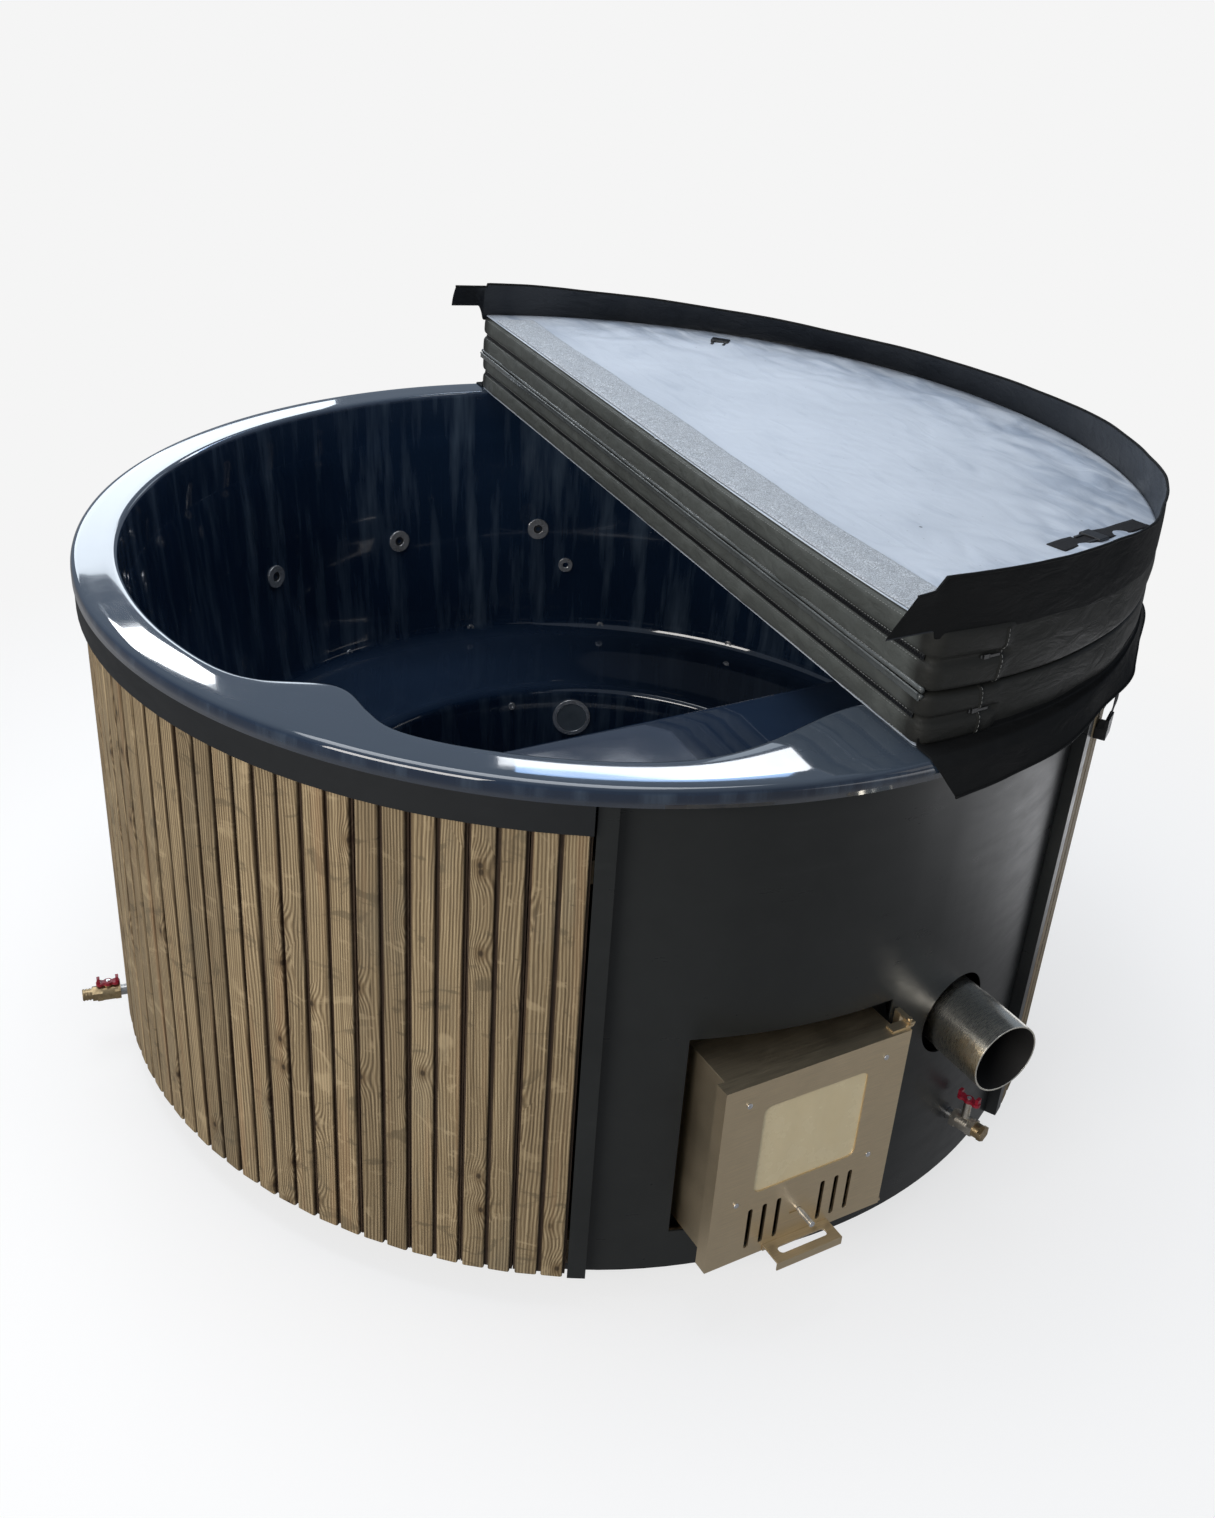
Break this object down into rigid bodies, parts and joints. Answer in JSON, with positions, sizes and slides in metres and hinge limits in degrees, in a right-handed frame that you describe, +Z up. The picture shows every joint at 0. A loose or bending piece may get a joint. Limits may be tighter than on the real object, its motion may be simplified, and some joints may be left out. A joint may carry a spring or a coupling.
{
  "type": "wood-fired hot tub",
  "caption": "Round timber-clad hot tub with a moulded liner and bench, a built-in stove behind a steel front, drain valves and a folded insulated cover.",
  "frame": {"origin": "on the tub's axis, in the plane that it stands on", "axes": "+Z up along the tub's axis; -Y from the axis towards the stove door's side, square to the door and along the flue spigot; +X to the right of someone who faces the door"},
  "size_m": [2.0724, 2.047, 1.2945],
  "materials": {
    "plinth_plastic": "matt",
    "frame_timber": "sawn",
    "deck_board": "sawn",
    "liner_gelcoat": "high gloss",
    "foam": "porous",
    "cladding_timber": "weathered oil stain",
    "edge_band": "matt",
    "dark_sheet": "fine matt powder coat",
    "stove_steel": "heat-proof matt",
    "cast_iron": "rough",
    "door_steel": "brushed",
    "rope_seal": "woven",
    "flue_steel": "polished",
    "pipe_steel": "satin",
    "fitting_chrome": "polished",
    "valve_brass": "satin",
    "lever_red": "gloss enamel",
    "valve_nickel": "nickel plated",
    "jet_plastic": "gloss",
    "lamp_cover": "frosted",
    "buckle_plastic": "satin",
    "door_glass": "heat-proof",
    "cover_vinyl": "grained vinyl",
    "cover_lining": "thin woven sheet",
    "zip_tape": "woven",
    "skirt_vinyl": "grained vinyl",
    "hinge_vinyl": "smooth vinyl",
    "webbing": "woven",
    "fleece": "short pile"
  },
  "bodies": {
    "tub": {"plinth_ring": "plinth_plastic", "base_joists": "frame_timber", "base_deck": "deck_board", "liner": "liner_gelcoat", "foam_jacket": "foam", "wall_studs": "frame_timber", "wall_battens": "frame_timber", "cladding_boards": "cladding_timber", "top_band": "edge_band", "front_sheet": "dark_sheet", "bay_trims": "dark_sheet", "stove_jacket": "stove_steel", "firebox": "stove_steel", "fire_grate": "cast_iron", "door_neck": "door_steel", "neck_gasket": "rope_seal", "flue_pipe": "flue_steel", "hinge_post": "door_steel", "water_pipes": "pipe_steel", "water_port_rings": "fitting_chrome", "drain_pipes": "pipe_steel", "drain_sieve": "pipe_steel", "drain_valve_body": "valve_brass", "drain_hose_tail": "valve_brass", "stove_valve_body": "valve_nickel", "stove_valve_plug": "valve_brass", "jet_rings": "fitting_chrome", "jet_nozzles": "jet_plastic", "wall_port": "fitting_chrome", "air_nozzles": "fitting_chrome", "lamp_ring": "fitting_chrome", "lamp_lens": "lamp_cover", "strap_sockets": "buckle_plastic"},
    "door": {"door_panel": "door_steel", "door_glass": "door_glass", "glass_clamp": "door_steel", "door_screws": "fitting_chrome", "door_handle": "door_steel", "damper_guides": "door_steel"},
    "damper": {"damper_plate": "door_steel", "damper_knob": "fitting_chrome"},
    "drain_lever": {"drain_valve_ball": "fitting_chrome", "drain_valve_handle": "lever_red"},
    "stove_lever": {"stove_valve_ball": "fitting_chrome", "stove_valve_handle": "lever_red"},
    "cover_lower": {"lower_panel": "cover_vinyl", "lower_lining": "cover_lining", "lower_zip": "zip_tape", "lower_skirt": "skirt_vinyl", "hinge_strip": "hinge_vinyl", "lower_straps": "webbing", "strap_plugs": "buckle_plastic"},
    "cover_upper": {"upper_panel": "cover_vinyl", "upper_lining": "cover_lining", "upper_zip": "zip_tape", "fleece_strip": "fleece", "upper_skirt": "skirt_vinyl", "upper_straps": "webbing", "upper_plugs": "buckle_plastic"}
  },
  "joints": [
    {"name": "door_hinge", "type": "hinge", "parent": "tub", "child": "door", "pos_m": [0.046, -0.984, 0.352], "axis": [0, 0, 1], "range_deg": [0, 120]},
    {"name": "air_damper", "type": "slide", "parent": "door", "child": "damper", "axis": [-1, 0, 0], "range_m": [0, 0.014]},
    {"name": "drain_lever_turn", "type": "hinge", "parent": "tub", "child": "drain_lever", "pos_m": [-0.98915, 0.18333, 0.122], "axis": [0, 0, 1], "range_deg": [0, 90]},
    {"name": "stove_lever_turn", "type": "hinge", "parent": "tub", "child": "stove_lever", "pos_m": [0.2715, -0.94684, 0.208], "axis": [0, 0, 1], "range_deg": [0, 90]},
    {"name": "cover_lift", "type": "slide", "parent": "tub", "child": "cover_lower", "axis": [0, 0, 1], "range_m": [0, 0.35]},
    {"name": "cover_fold", "type": "hinge", "parent": "cover_lower", "child": "cover_upper", "pos_m": [0.07665, -0.00738, 1.1345], "axis": [-0.0958, -0.9954, 0], "range_deg": [0, 154]}
  ]
}
